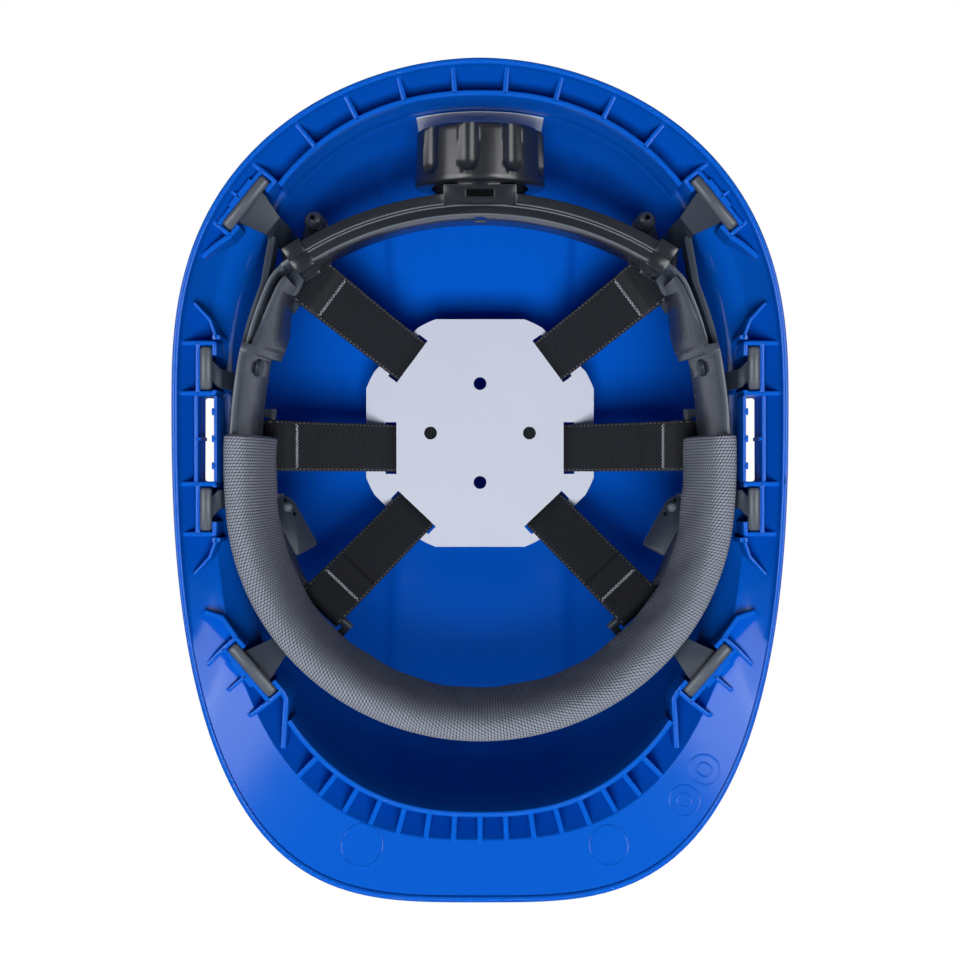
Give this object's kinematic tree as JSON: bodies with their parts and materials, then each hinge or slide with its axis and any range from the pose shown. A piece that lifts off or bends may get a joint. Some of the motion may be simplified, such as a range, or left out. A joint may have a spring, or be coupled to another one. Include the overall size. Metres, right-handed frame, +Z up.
{
  "type": "hard hat",
  "caption": "Blue moulded safety helmet with a ribbed rim, webbing cradle, crown pad, padded headband and a rear ratchet knob that draws in the nape band.",
  "frame": {"origin": "middle of the rim's plan, on the plane the rim rests on", "axes": "+Z up through the crown, -Y towards the peak, +Y towards the ratchet knob, +X to the wearer's left"},
  "size_m": [0.2154, 0.2949, 0.15],
  "materials": {
    "shell_blue": "glossy injection-moulded plastic",
    "label": "blank satin sticker",
    "pad": "satin sheet plastic",
    "webbing": "woven twill webbing",
    "sweat_fabric": "grey knitted mesh over foam",
    "cradle_grey": "grey satin moulding",
    "nape_grey": "dark grey satin moulding",
    "knob_black": "black satin moulding",
    "steel": "plain steel"
  },
  "bodies": {
    "helmet": {"shell": "shell_blue", "inner_label": "label", "crown_pad": "pad", "strap_cross": "webbing", "strap_diagonal_left": "webbing", "strap_diagonal_right": "webbing", "hanger_rear_left": "cradle_grey", "hanger_rear_right": "cradle_grey", "hanger_front_left": "cradle_grey", "hanger_front_right": "cradle_grey", "hanger_side_left": "cradle_grey", "hanger_side_right": "cradle_grey", "headband": "cradle_grey", "band_arm_left": "cradle_grey", "band_arm_right": "cradle_grey", "rear_rivets": "cradle_grey", "front_rivets": "cradle_grey", "sweatband": "sweat_fabric"},
    "nape": {"nape_channel": "nape_grey", "nape_cover": "nape_grey"},
    "knob": {"knob": "knob_black", "drive_pinion": "knob_black", "click_spring": "steel", "knob_screw": "steel"}
  },
  "joints": [
    {"name": "nape_slide", "type": "slide", "parent": "helmet", "child": "nape", "axis": [0, -1, 0], "range_m": [0, 0.024], "deforming": ["band_arm_left", "band_arm_right"]},
    {"name": "knob_turn", "type": "hinge", "parent": "nape", "child": "knob", "pos_m": [0, 0.1, 0.024], "axis": [0, -1, 0], "range_deg": [0, 230]}
  ],
  "couplings": [
    {"joint": "knob_turn", "follows": "nape_slide", "rad_per_m": 166.67}
  ]
}
